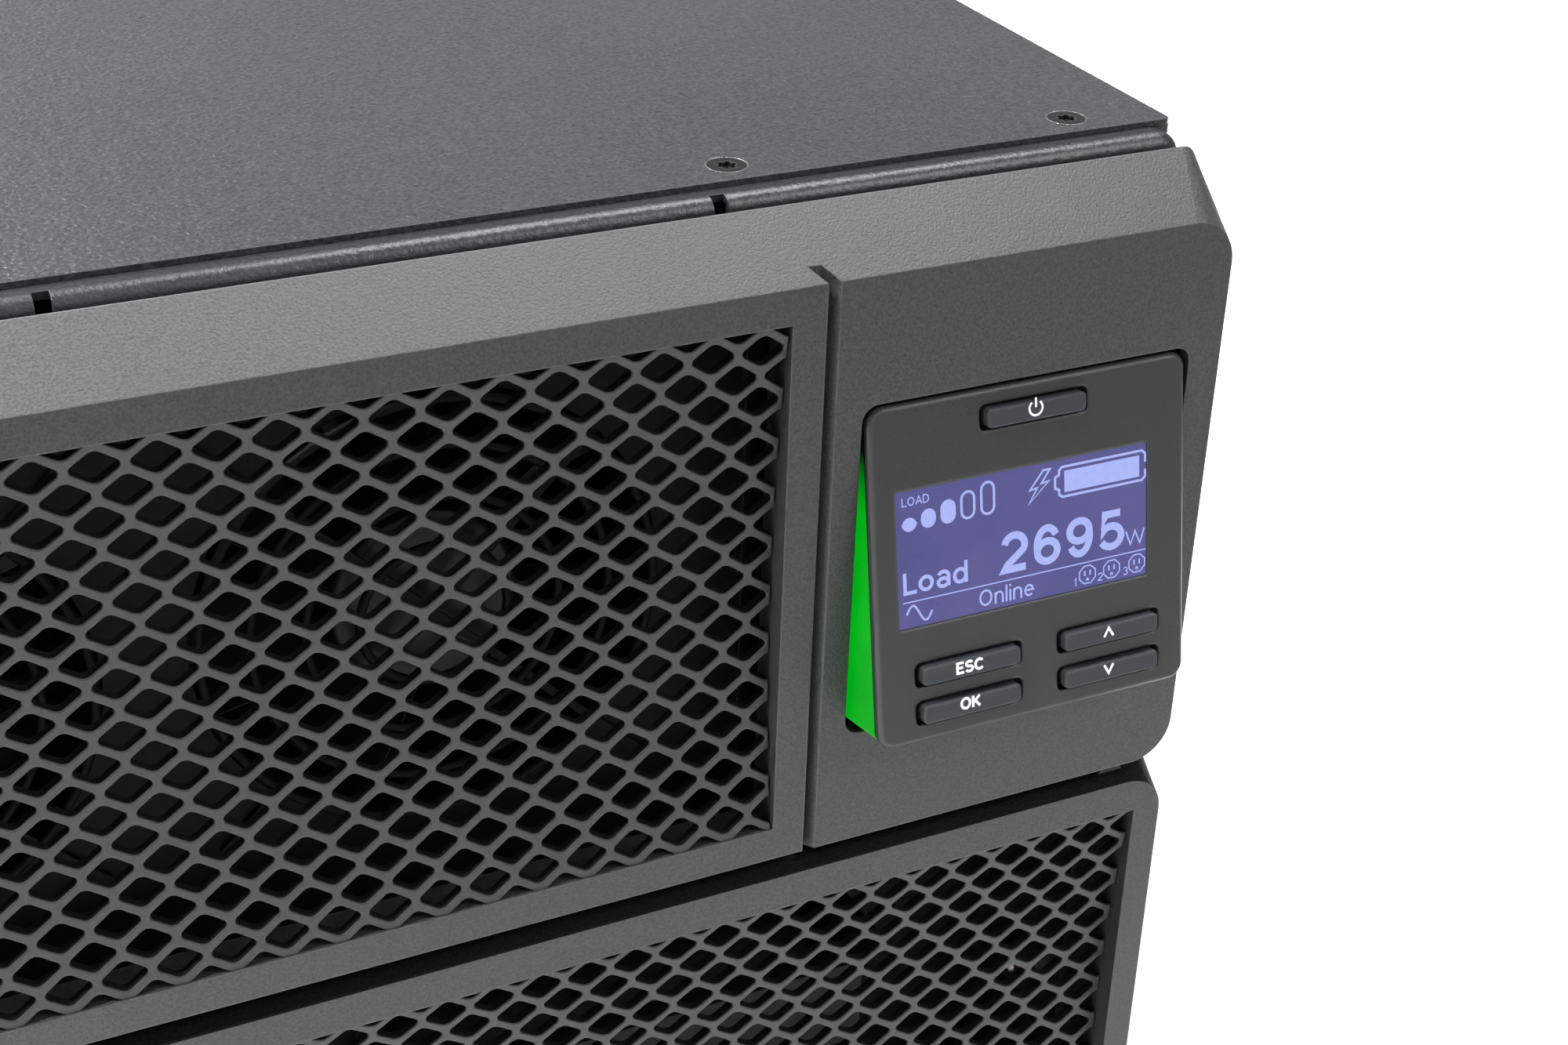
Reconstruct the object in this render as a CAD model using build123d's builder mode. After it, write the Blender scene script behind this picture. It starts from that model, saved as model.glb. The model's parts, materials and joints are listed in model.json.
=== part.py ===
from build123d import *
import os
from math import sin, cos, radians, pi

# 6U rackmount uninterruptible power supply.
# Frame: millimetres, +Z up, the front faces -Y, +X is to the right seen from the front.
# The origin is the centre of the flat underside of the chassis.

# ---------------------------------------------------------------- driving dimensions
W = 432.0            # width of the bezels
CHX = 215.0          # half width of the sheet metal chassis
HT = 263.0           # height to the top of the cover (6U)
T = 1.5              # chassis sheet thickness
TR = 2.0             # rear panel thickness
YF = -357.5          # front plane of both bezels
YR = 345.0           # outer face of the rear panel
FACE = YF + 18.0     # front face of the chassis front frame

FH = 122.5           # height of one bezel face
UP0 = 128.4          # lower edge of the upper bezel face
UP1 = UP0 + FH
LO0 = 0.8            # lower edge of the lower bezel face
LO1 = LO0 + FH
BEVY = 15.5          # depth of a bezel
BEVZ = 9.3           # rise of the sloping top of a bezel
LRUN, LRISE = 7.67, 4.6                          # the lower bezel's slope stops under the upper bezel
RC = 9.2             # corner radius of a bezel face
WALL = 3.0           # front wall of a bezel

GU = (-209.2, 121.9, UP0 + 7.2, UP1 - 7.0)      # upper grille opening x0 x1 z0 z1
GL = (-209.4, 209.4, LO0 + 7.2, LO1 - 7.9)      # lower grille opening
GROOVE = (128.7, 131.3)                          # groove beside the display part
ARC0, ARC1, ARCT = 0.4, 4.3, 2.3                 # grille: edge depth, mid depth, thickness
PX, PZ = 19.34, 13.1                             # grille lattice pitch

DCX = 172.8          # display centre in x
DW, DH, DT = 69.8, 68.2, 2.6                     # display fascia
TILT = 10.8          # display tilt at rest, degrees
DOPEN = (136.8, 208.8, 153.8, 225.3)             # display opening in the bezel
HV, HWD = 2.16, -6.5                             # hinge pin: down the face, behind the face
KEY_W, KEY_H = 21.7, 3.8                         # button face
HOLE_W, HOLE_H = 24.0, 5.2                       # hole around a button
KEYS = {"power_button": (0.5, 4.85), "esc_button": (-15.0, 53.5), "ok_button": (-15.0, 61.4),
        "up_button": (16.85, 53.5), "down_button": (16.85, 61.4)}
LCD = (-29.9, 26.15, 16.05, 43.65)               # screen window u0 u1 v0 v1

FANS = (-147.65, -43.65, 60.35)                  # fan centres in x
MODULES = {"left": (-206.0, -7.0), "right": (7.0, 206.0)}    # battery modules, x0 x1
MZ0, MZ1 = 10.5, 119.5                           # battery modules, floor and top
MY0, MY1 = FACE + 30.0, 150.0                    # battery modules, front and rear wall
FANZ = (GU[2] + GU[3]) / 2
DECK = 125.1         # underside of the middle deck

os.makedirs("parts", exist_ok=True)

_s, _c = sin(radians(TILT)), cos(radians(TILT))
D0 = (DCX, YF, 223.6)                            # reference point on the display face
DN = (0.0, -_c, _s)                              # outward normal of the display face


def PY(y):
    """Plane facing the front at depth y; local x, y are X, Z."""
    return Plane(origin=(0, y, 0), x_dir=(1, 0, 0), z_dir=(0, -1, 0))


def PX_(x):
    """Plane facing +X; local x, y are Y, Z."""
    return Plane(origin=(x, 0, 0), x_dir=(0, 1, 0), z_dir=(1, 0, 0))


def PD(w):
    """Plane parallel to the tilted display face, w in front of it."""
    return Plane(origin=(D0[0] + DN[0] * w, D0[1] + DN[1] * w, D0[2] + DN[2] * w),
                 x_dir=(1, 0, 0), z_dir=DN)


def block(x0, x1, y0, y1, z0, z1, mode=Mode.ADD):
    with BuildSketch(Plane.XY.offset(z0)) as s:
        with Locations(((x0 + x1) / 2, (y0 + y1) / 2)):
            Rectangle(x1 - x0, y1 - y0)
    extrude(s.sketch, amount=z1 - z0, mode=mode)


def yrect(x0, x1, z0, z1, y0, y1, r=0.0, mode=Mode.ADD):
    with BuildSketch(PY(y1)) as s:
        with Locations(((x0 + x1) / 2, (z0 + z1) / 2)):
            if r > 0:
                RectangleRounded(x1 - x0, z1 - z0, r)
            else:
                Rectangle(x1 - x0, z1 - z0)
    extrude(s.sketch, amount=y1 - y0, mode=mode)


def ycyl(x, z, r, y0, y1, mode=Mode.ADD):
    with BuildSketch(PY(y1)) as s:
        with Locations((x, z)):
            Circle(r)
    extrude(s.sketch, amount=y1 - y0, mode=mode)


def zcyl(x, y, r, z0, z1, mode=Mode.ADD):
    with BuildSketch(Plane.XY.offset(z0)) as s:
        with Locations((x, y)):
            Circle(r)
    extrude(s.sketch, amount=z1 - z0, mode=mode)


def xcyl(y, z, r, x0, x1, mode=Mode.ADD):
    with BuildSketch(PX_(x0)) as s:
        with Locations((y, z)):
            Circle(r)
    extrude(s.sketch, amount=x1 - x0, mode=mode)


def dblock(u0, u1, v0, v1, w0, w1, r=0.0, mode=Mode.ADD):
    """Block on the display: u across, v down the face, w in front of the face."""
    with BuildSketch(PD(w0)) as s:
        with Locations(((u0 + u1) / 2, -(v0 + v1) / 2)):
            if r > 0:
                RectangleRounded(u1 - u0, v1 - v0, r)
            else:
                Rectangle(u1 - u0, v1 - v0)
    extrude(s.sketch, amount=w1 - w0, mode=mode)


def save(build, label):
    build.part.label = label
    export_step(build.part, "parts/" + label + ".step")


# ---------------------------------------------------------------- sheet metal chassis
# Open tray: floor, two side walls and inward flanges that carry the cover.
RACK_Y = (-318.0, -293.0)
RACK_Z = (44.0, 222.0)
with BuildPart() as base_tray:
    block(-CHX, CHX, YF + 24, YR - TR, 0, T)
    for sx in (-1, 1):
        x0, x1 = sorted((sx * CHX, sx * (CHX - T)))
        block(x0, x1, YF + 24, YR - TR, 0, HT - 1.2)
        f0, f1 = sorted((sx * CHX, sx * (CHX - 14)))
        block(f0, f1, YF + 24, YR - TR, HT - 1.2 - T, HT - 1.2)
        for y in (-150.0, 30.0, 210.0):
            zcyl(sx * 208.0, y, 1.65, HT - 4, HT, mode=Mode.SUBTRACT)
        for y in RACK_Y:
            for z in RACK_Z:
                xcyl(y, z, 3.2, x0, x1, mode=Mode.SUBTRACT)
    # rails that the battery modules slide on
    for a, b in MODULES.values():
        for x in (a + 12, b - 24):
            block(x, x + 12, YF + 26, 150.0, T, MZ0 - 0.3)
    # side vents behind the power stage, rear half
    with BuildSketch(PX_(-CHX)) as vents:
        with GridLocations(12, 22, 12, 3):
            with Locations((190, 195)):
                SlotOverall(16, 4.5, rotation=90)
    extrude(vents.sketch, amount=2 * CHX, mode=Mode.SUBTRACT)
save(base_tray, "base_tray")

# Press nuts in the side walls: the threads that take the rack brackets.
with BuildPart() as rack_nuts:
    for sx in (-1, 1):
        for y in RACK_Y:
            for z in RACK_Z:
                a, b = sorted((sx * CHX, sx * (CHX - T)))
                c0, c1 = sorted((sx * (CHX - T), sx * (CHX - 6.5)))
                h0, h1 = sorted((sx * CHX, sx * (CHX - 6.5)))
                xcyl(y, z, 3.2, a, b)
                xcyl(y, z, 4.6, c0, c1)
                xcyl(y, z, 2.1, h0, h1, mode=Mode.SUBTRACT)
save(rack_nuts, "rack_nuts")

# Front frame: formed sheet whose rolled top edge shows between cover and bezel.
LOPEN = ((-208.0, -5.0), (5.0, 208.0))
STUDS_UP = [(-204, UP1 - 3.4), (-60, UP1 - 3.4), (204, UP1 - 3.4), (140, 143.4), (204, 143.4)]
STUDS_LO = [(-204, LO1 + 0.2), (204, LO1 + 0.2), (-204, LO0 + 4.3), (204, LO0 + 4.3)]
with BuildPart() as front_frame:
    with BuildSketch(PY(YF + 24)) as s:
        with Locations((0, (HT - 1.2) / 2)):
            RectangleRounded(2 * CHX, HT - 1.2, 5.0)
    extrude(s.sketch, amount=6.0)
    fillet(front_frame.faces().sort_by(Axis.Y)[0].edges(), radius=2.9)
    yrect(-CHX + T, CHX - T, T, HT - 1.2 - T, FACE + T, YF + 24, 3.5, mode=Mode.SUBTRACT)
    # flange under the cover, tapped for the front cover screws
    block(-200.5, 200.5, YF + 23.0, YF + 42, HT - 1.2 - T, HT - 1.2)
    # bay openings
    yrect(-198, 122, 136, 243, FACE - 1, FACE + 3, 4, mode=Mode.SUBTRACT)
    yrect(132, 211.9, 147.0, 236, FACE - 1, FACE + 3, 3, mode=Mode.SUBTRACT)
    for a, b in LOPEN:
        yrect(a, b, 9, 121, FACE - 1, FACE + 3, 2, mode=Mode.SUBTRACT)
    # hook slots in the rolled edge
    for x in (-118.8, -1.3, 116.2):
        block(x - 1.4, x + 1.4, FACE - 1, FACE + 2.7, HT - 9, HT, mode=Mode.SUBTRACT)
    for x in (-195.66, -122.95, 122.95, 195.66):
        zcyl(x, YF + 30.8, 1.65, HT - 4, HT, mode=Mode.SUBTRACT)
    # holes for the bezel studs
    for x, z in STUDS_UP + STUDS_LO:
        ycyl(x, z, 1.5, FACE - 1, FACE + 3, mode=Mode.SUBTRACT)
save(front_frame, "front_frame")

# Ball studs that the bezels push on to.
with BuildPart() as bezel_studs:
    for x, z in STUDS_UP + STUDS_LO:
        ycyl(x, z, 1.5, FACE - 9.5, FACE + T)
        ycyl(x, z, 2.4, FACE - 1.2, FACE)
save(bezel_studs, "bezel_studs")

# Middle deck between the power bay and the battery bay.
with BuildPart() as mid_deck:
    block(-CHX + T, CHX - T, YF + 26, YR - TR, DECK, DECK + T)
    for sx in (-1, 1):
        a, b = sorted((sx * (CHX - T), sx * (CHX - 2 * T)))
        block(a, b, YF + 26, YR - TR, DECK - 4, DECK)
save(mid_deck, "mid_deck")

# Rear panel with its cutouts.
CARD = (-206.0, -86.0, 226.0, 250.0)
OUT13 = [(x, z) for x in (66.0, 100.0, 134.0, 168.0) for z in (84.0, 48.0)]
with BuildPart() as rear_panel:
    yrect(-CHX, CHX, 0, HT - 1.2, YR - TR, YR, 2.0)
    # exhaust slots
    with BuildSketch(PY(YR)) as slots:
        with GridLocations(9.0, 36.0, 26, 2):
            with Locations((-82, 178)):
                SlotOverall(30, 4.6, rotation=90)
    extrude(slots.sketch, amount=TR, mode=Mode.SUBTRACT)
    # network card
    yrect(CARD[0] + 4, CARD[1] - 4, CARD[2] + 2, CARD[3] - 2, YR - TR - 1, YR + 1, mode=Mode.SUBTRACT)
    # signal ports
    yrect(-60, 22, 229, 247, YR - TR - 1, YR + 1, 1.0, mode=Mode.SUBTRACT)
    # external battery connector
    yrect(92, 150, 140, 168, YR - TR - 1, YR + 1, 1.0, mode=Mode.SUBTRACT)
    # breakers
    for x in (-38, -8):
        yrect(x - 10.2, x + 10.2, 50, 90, YR - TR - 1, YR + 1, 1.0, mode=Mode.SUBTRACT)
    # outlets
    for x, z in OUT13:
        yrect(x - 14.2, x + 14.2, z - 10.4, z + 10.4, YR - TR - 1, YR + 1, 3.0, mode=Mode.SUBTRACT)
    # wiring compartment
    yrect(-196, -76, 22, 108, YR - TR - 1, YR + 1, 3.0, mode=Mode.SUBTRACT)
    ycyl(26, 22, 2.5, YR - TR - 1, YR + 1, mode=Mode.SUBTRACT)
    for x in (-180, -60, 60, 180):
        ycyl(x, 134.5, 1.65, YR - TR - 1, YR + 1, mode=Mode.SUBTRACT)
save(rear_panel, "rear_panel")

# Top cover: one flat powder coated sheet, countersunk for the screws.
COVER_SCREWS = ([(x, YF + 30.8) for x in (-195.66, -122.95, 122.95, 195.66)]
                + [(x, y) for x in (-208.0, 208.0) for y in (-150.0, 30.0, 210.0)]
                + [(x, 336.0) for x in (-150.0, 0.0, 150.0)])
with BuildPart() as top_cover:
    with BuildSketch(Plane.XY.offset(HT - 1.2)) as s:
        with Locations((0, (YF + 23.4 + YR) / 2)):
            RectangleRounded(2 * CHX, YR - YF - 23.4, 1.2)
    extrude(s.sketch, amount=1.2)
    # folded rear edge
    block(-CHX + 18, CHX - 18, YR - TR - 16, YR - TR - 0.3, HT - 1.2 - T, HT - 1.2)
    for x, y in COVER_SCREWS:
        zcyl(x, y, 2.0, HT - 4, HT + 1, mode=Mode.SUBTRACT)
        with BuildSketch(Plane.XY.offset(HT)) as a:
            with Locations((x, y)):
                Circle(3.9)
        with BuildSketch(Plane.XY.offset(HT - 1.2)) as b:
            with Locations((x, y)):
                Circle(2.7)
        loft([b.sketch.face(), a.sketch.face()], mode=Mode.SUBTRACT)
save(top_cover, "top_cover")

# Countersunk six-lobe cover screws.
with BuildPart() as cover_screws:
    for x, y in COVER_SCREWS:
        with BuildSketch(Plane.XY.offset(HT - 0.05)) as a:
            with Locations((x, y)):
                Circle(3.8)
        with BuildSketch(Plane.XY.offset(HT - 1.2)) as b:
            with Locations((x, y)):
                Circle(2.6)
        loft([b.sketch.face(), a.sketch.face()])
        zcyl(x, y, 1.6, HT - 2.7, HT - 1.2)
        with BuildSketch(Plane.XY.offset(HT - 0.05)) as lobes:
            with Locations((x, y)):
                Circle(1.45)
                with PolarLocations(1.45, 6):
                    Circle(0.56)
        extrude(lobes.sketch, amount=-1.0, mode=Mode.SUBTRACT)
save(cover_screws, "cover_screws")

# ---------------------------------------------------------------- bezels and grilles
def bezel_body(z0, z1, run, rise, rb):
    """Hollow moulding: front wall, sloping top, sides; the mouth is at the back.
    The top slopes up over the depth run by rise, then runs level to the back."""
    def rect(y, dx, lo, hi, r):
        with BuildSketch(PY(y)) as s:
            with Locations((0, (lo + hi) / 2)):
                RectangleRounded(W - 2 * dx, hi - lo, r)
        return s.sketch.face()
    loft([rect(YF, 0, z0, z1, RC), rect(YF + run, 0, z0, z1 + rise, rb)], ruled=True)
    if run < BEVY:
        extrude(rect(YF + BEVY, 0, z0, z1 + rise, rb), amount=BEVY - run)
    k = WALL / run
    loft([rect(YF + WALL, 2.4, z0 + 2.2, z1 + rise * k - 2.2, RC - 3.0),
          rect(YF + run, 2.4, z0 + 2.2, z1 + rise - 2.2, rb - 1.6)], ruled=True, mode=Mode.SUBTRACT)
    if run < BEVY:
        extrude(rect(YF + BEVY, 2.4, z0 + 2.2, z1 + rise - 2.2, rb - 1.6), amount=BEVY - run, mode=Mode.SUBTRACT)


def grille_seat(g):
    yrect(g[0] - 2.2, g[1] + 2.2, g[2] - 2.2, g[3] + 2.2, YF + WALL, YF + 9.0)
    yrect(g[0], g[1], g[2], g[3], YF - 1, YF + 10.0, mode=Mode.SUBTRACT)


def side_rib(x0, x1, z0, z1):
    """Rib inside a side wall that closes the gap to the front frame."""
    yrect(x0, x1, z0, z1, YF + WALL - 0.5, FACE - 0.3)


def stud_sockets(points):
    for x, z in points:
        ycyl(x, z, 3.3, YF + WALL, YF + 13.5)
    for x, z in points:
        ycyl(x, z, 1.8, YF + WALL + 0.5, YF + 14, mode=Mode.SUBTRACT)


with BuildPart() as upper_bezel:
    bezel_body(UP0, UP1, BEVY, BEVZ, 3.2)
    side_rib(-W / 2 + 2.0, -210.4, UP0 + 5, UP1 - 8)
    # rib behind the groove
    yrect(GROOVE[0] - 4.5, GROOVE[1] + 1.6, UP0 + 4, UP1 - 1, YF + WALL, YF + 6.2)
    grille_seat(GU)
    stud_sockets(STUDS_UP)
    yrect(DOPEN[0], DOPEN[1], DOPEN[2], DOPEN[3], YF - 1, YF + 12, 3.4, mode=Mode.SUBTRACT)
    # groove that sets the display part off from the grille part
    with BuildSketch(Plane.XY.offset(UP0 - 1)) as s:
        with BuildLine():
            Polyline((GROOVE[0], YF - 1), (GROOVE[1], YF - 1), (GROOVE[1], YF), (GROOVE[1] - 2.5, YF + 3.6),
                     (GROOVE[0] - 2.5, YF + 3.6), (GROOVE[0], YF), close=True)
        make_face()
    extrude(s.sketch, amount=FH + 7, mode=Mode.SUBTRACT)
save(upper_bezel, "upper_bezel")

with BuildPart() as lower_bezel:
    bezel_body(LO0, LO1, LRUN, LRISE, 6.6)
    side_rib(-W / 2 + 2.0, -210.4, LO0 + 8, LO1 - 8)
    side_rib(210.4, W / 2 - 2.0, LO0 + 8, LO1 - 8)
    grille_seat(GL)
    stud_sockets(STUDS_LO)
    yrect(GL[0], GL[1], GL[2], GL[3], YF - 1, YF + 10.0, mode=Mode.SUBTRACT)
save(lower_bezel, "lower_bezel")


def grille_profile(g, row0, col0):
    """Staggered lattice of flat-topped rhombic holes in a plate dished back by a few millimetres."""
    x0, x1 = g[0] + 0.4, g[1] - 0.4
    z0, z1 = g[2], g[3]
    cells = []
    z, r = z1 - row0, 0
    while z > z0 + 2:
        x = x1 - col0 - (PX / 2 if r % 2 else 0.0)
        while x > x0 + 5:
            if x < x1 - 5:
                cells.append((x, z))
            x -= PX
        z -= PZ / 2
        r += 1
    with BuildSketch(PY(YF + 8)) as s:
        with Locations(((x0 + x1) / 2, (z0 + z1) / 2)):
            Rectangle(x1 - x0, z1 - z0)
        with Locations(*cells):
            Polygon((-8.3, 0), (-0.9, -3.9), (0.9, -3.9), (8.3, 0), (0.9, 3.9), (-0.9, 3.9),
                    align=None, mode=Mode.SUBTRACT)
    extrude(s.sketch, amount=8)
    zm = (z0 + z1) / 2
    with BuildSketch(PX_(x0)) as arc:
        with BuildLine():
            front = ThreePointArc((YF + ARC0, z1), (YF + ARC1, zm), (YF + ARC0, z0))
            back = ThreePointArc((YF + ARC0 + ARCT, z0), (YF + ARC1 + ARCT, zm), (YF + ARC0 + ARCT, z1))
            Line(front @ 1, back @ 0)
            Line(back @ 1, front @ 0)
        make_face()
    extrude(arc.sketch, amount=x1 - x0, mode=Mode.INTERSECT)


with BuildPart() as upper_grille:
    grille_profile(GU, 6.0, 10.0)
save(upper_grille, "upper_grille")

with BuildPart() as lower_grille:
    grille_profile(GL, 6.0, 10.0)
save(lower_grille, "lower_grille")

# ---------------------------------------------------------------- display unit
# Pocket behind the bezel opening; its two cheeks carry the hinge pins.
PIN_Y = D0[1] - HV * _s - HWD * _c
PIN_Z = D0[2] - HV * _c + HWD * _s
with BuildPart() as display_bracket:
    for a, b in ((134.3, 136.3), (209.3, 211.3)):
        with BuildSketch(PX_(a)) as s:
            with BuildLine():
                Polyline((YF + 3.7, 152), (YF + 3.7, 226), (YF + 29.5, 229.5), (YF + 29.5, 149.0),
                         (YF + 10, 149.0), close=True)
            make_face()
        extrude(s.sketch, amount=b - a)
        xcyl(PIN_Y, PIN_Z, 1.2, a - 1, b + 1, mode=Mode.SUBTRACT)
    yrect(134.3, 211.3, 149, 229.5, YF + 28, YF + 29.5)
    block(134.3, 211.3, YF + 12, YF + 29.5, 228.0, 229.5)
    block(134.3, 211.3, YF + 12, YF + 29.5, 149.0, 150.5)
    # tabs on the back of the front frame
    yrect(125.5, 134.4, 160, 220, FACE + T, FACE + 2 * T)
    yrect(211.2, 213.0, 160, 220, FACE + T, FACE + 2 * T)
save(display_bracket, "display_bracket")

with BuildPart() as hinge_pins:
    xcyl(PIN_Y, PIN_Z, 1.2, 134.3, 140.5)
    xcyl(PIN_Y, PIN_Z, 1.2, 205.1, 211.3)
save(hinge_pins, "hinge_pins")

VT = -0.84
with BuildPart() as display_fascia:
    dblock(-DW / 2, DW / 2, VT, VT + DH, -DT, 0, 3.3)
    chamfer(display_fascia.faces().sort_by(Axis.Y)[0].edges(), length=0.7)
    dblock(LCD[0], LCD[1], LCD[2], LCD[3], -DT - 1, 1, 0.5, mode=Mode.SUBTRACT)
    for u, v in KEYS.values():
        dblock(u - HOLE_W / 2, u + HOLE_W / 2, v - HOLE_H / 2, v + HOLE_H / 2, -DT - 1, 1, 1.4, mode=Mode.SUBTRACT)
save(display_fascia, "display_fascia")

with BuildPart() as display_housing:
    dblock(-34.7, 34.7, VT + 0.2, VT + DH - 0.2, -16.0, -DT, 3.1)
    dblock(-32.7, 32.7, VT + 2.2, VT + DH - 2.2, -14.0, -DT + 1, 1.5, mode=Mode.SUBTRACT)
    xcyl(PIN_Y, PIN_Z, 1.28, DCX - 40, DCX - 30, mode=Mode.SUBTRACT)
    xcyl(PIN_Y, PIN_Z, 1.28, DCX + 30, DCX + 40, mode=Mode.SUBTRACT)
    # bosses for the board screws
    for u in (-29.0, 29.0):
        for v in (12.0, 48.0):
            with BuildSketch(PD(-14.0)) as s:
                with Locations((u, -v)):
                    Circle(2.6)
            extrude(s.sketch, amount=6.8)
save(display_housing, "display_housing")

with BuildPart() as lcd_module:
    dblock(LCD[0] + 0.15, LCD[1] - 0.15, LCD[2] + 0.15, LCD[3] - 0.15, -DT, -0.3, 0.4)
    dblock(LCD[0] - 1.7, LCD[1] + 1.7, LCD[2] - 1.7, LCD[3] + 1.7, -5.3, -DT - 0.1)
    dblock(LCD[0] + 0.15, LCD[1] - 0.15, LCD[2] + 0.15, LCD[3] - 0.15, -DT - 0.2, -DT + 0.1)
save(lcd_module, "lcd_module")

with BuildPart() as keypad_board:
    dblock(-31.5, 31.5, 1.7, 64.8, -6.9, -5.3)
    for u in (-29.0, 29.0):
        for v in (12.0, 48.0):
            with BuildSketch(PD(-7.2)) as s:
                with Locations((u, -v)):
                    Circle(2.6)
            extrude(s.sketch, amount=0.3)
save(keypad_board, "keypad_board")

for key, (u, v) in KEYS.items():
    with BuildPart() as button:
        dblock(u - KEY_W / 2, u + KEY_W / 2, v - KEY_H / 2, v + KEY_H / 2, -4.0, 1.5, 1.0)
        chamfer(button.faces().sort_by(Axis.Y)[0].edges(), length=0.35)
        dblock(u - 12.6, u + 12.6, max(v - 3.3, 1.7), v + 3.3, -4.0, -3.2, 0.8)
    save(button, key)

# ---------------------------------------------------------------- fans behind the upper grille
with BuildPart() as fan_bracket:
    yrect(-210, 125, 130, 250, FACE + T, FACE + 2 * T, 2.0)
    for fx in FANS:
        ycyl(fx, FANZ, 44.5, FACE, FACE + 4, mode=Mode.SUBTRACT)
save(fan_bracket, "fan_bracket")

FY = FACE + 2 * T
for name, fx in zip(("fan_frame_left", "fan_frame_middle", "fan_frame_right"), FANS):
    with BuildPart() as fan_frame:
        yrect(fx - 46, fx + 46, FANZ - 46, FANZ + 46, FY, FY + 25.4, 4.0)
        ycyl(fx, FANZ, 44.5, FY - 1, FY + 26.4, mode=Mode.SUBTRACT)
        with BuildSketch(PY(FY + 25.4)) as s:
            with Locations((fx, FANZ)):
                Circle(19.0)
                for a in (20, 110, 200, 290):
                    with Locations(Location((0, 0, 0), (0, 0, a))):
                        with Locations((32.0, 0)):
                            Rectangle(27.0, 3.0)
        extrude(s.sketch, amount=3.0)
        ycyl(fx, FANZ, 1.5, FY + 6.0, FY + 23.0)
        for dx in (-41.25, 41.25):
            for dz in (-41.25, 41.25):
                ycyl(fx + dx, FANZ + dz, 2.15, FY - 1, FY + 26.4, mode=Mode.SUBTRACT)
    save(fan_frame, name)

for name, fx in zip(("fan_rotor_left", "fan_rotor_middle", "fan_rotor_right"), FANS):
    with BuildPart() as blade:
        with BuildSketch(Plane(origin=(fx, FY + 11.5, FANZ + 17.0), x_dir=(0.64, 0.77, 0), z_dir=(0, 0, 1))) as s:
            with BuildLine():
                top = ThreePointArc((-10.5, 0), (0, 2.6), (10.5, 0))
                bot = ThreePointArc((10.5, 0), (0, 0.9), (-10.5, 0))
            make_face()
        extrude(s.sketch, amount=25.0)
    with BuildPart() as fan_rotor:
        ycyl(fx, FANZ, 18.3, FY + 2.5, FY + 21.4)
        hub = fan_rotor.faces().sort_by(Axis.Y)[0].edges()
        fillet(hub, radius=2.0)
        for i in range(7):
            add(blade.part.rotate(Axis((fx, 0, FANZ), (0, 1, 0)), i * 360 / 7))
        ycyl(fx, FANZ, 1.56, FY + 5.5, FY + 22, mode=Mode.SUBTRACT)
    save(fan_rotor, name)

# Wire finger guards in front of the fans.
with BuildPart() as fan_guards:
    for fx in FANS:
        for r in (14.0, 24.0, 34.0, 43.0):
            with BuildSketch(Plane.XY.offset(FANZ)) as s:
                with Locations((fx + r, FACE + 0.1)):
                    Circle(0.9)
            revolve(s.sketch, axis=Axis((fx, 0, FANZ), (0, 1, 0)), revolution_arc=360)
        for a in (45, 135):
            with BuildSketch(PY(FACE + 1.5)) as s:
                with Locations(Location((fx, FANZ, 0), (0, 0, a))):
                    Rectangle(118.0, 1.6)
            extrude(s.sketch, amount=1.2)
save(fan_guards, "fan_guards")

# ---------------------------------------------------------------- power stage in the upper bay
DK = DECK + T
PCB = DK + 6.4
with BuildPart() as board_standoffs:
    for x in (-196, -98, 0, 98, 196):
        for y in (-286, -120, 50, 226):
            zcyl(x, y, 3.5, DK, PCB)
save(board_standoffs, "board_standoffs")

with BuildPart() as main_board:
    block(-205, 205, -296, 236, PCB, PCB + 1.6)
    # relays
    for x in (-180, -148, -116, -84, -52):
        block(x - 11, x + 11, 150, 182, PCB + 1.6, PCB + 27.6)
save(main_board, "main_board")
PT = PCB + 1.6


def fins(x0, x1, y0, y1, z0, z1, n):
    block(x0, x1, y0, y1, z0, z0 + 8)
    pitch = (x1 - x0 - 2.0) / (n - 1)
    for i in range(n):
        block(x0 + i * pitch, x0 + i * pitch + 2.0, y0, y1, z0 + 8, z1)


with BuildPart() as heatsink_left:
    fins(-196, -96, -262, -62, PT, PT + 92, 11)
save(heatsink_left, "heatsink_left")

with BuildPart() as heatsink_right:
    fins(-72, 28, -262, -62, PT, PT + 92, 11)
save(heatsink_right, "heatsink_right")

with BuildPart() as bulk_capacitors:
    for x in (52.0, 90.0):
        for y in (-240.0, -202.0, -164.0, -126.0):
            zcyl(x, y, 17.5, PT, PT + 62)
save(bulk_capacitors, "bulk_capacitors")

with BuildPart() as inductors:
    for x in (-150.0, -60.0, 30.0):
        xcyl(20.0, PT + 40, 38.0, x - 17, x + 17)
        xcyl(20.0, PT + 40, 16.0, x - 18, x + 18, mode=Mode.SUBTRACT)
        block(x - 20, x + 20, -10, 50, PT, PT + 6)
save(inductors, "inductors")

with BuildPart() as transformer:
    block(110, 180, -30, 70, PT, PT + 86)
    block(127, 163, -31, 71, PT + 18, PT + 68, mode=Mode.SUBTRACT)
    # winding around the middle leg
    block(127.5, 162.5, -46, 86, PT + 18.5, PT + 67.5)
save(transformer, "transformer")

with BuildPart() as control_board:
    block(186, 187.6, -270, -60, PT, PT + 100)
save(control_board, "control_board")

# ---------------------------------------------------------------- battery bay
with BuildPart() as bay_divider:
    block(-0.75, 0.75, YF + 26, 172, T, DECK)
    # cross wall behind the modules
    block(-CHX + 2 * T + 0.5, CHX - 2 * T - 0.5, 172, 172 + T, T, DECK)
save(bay_divider, "bay_divider")

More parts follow.
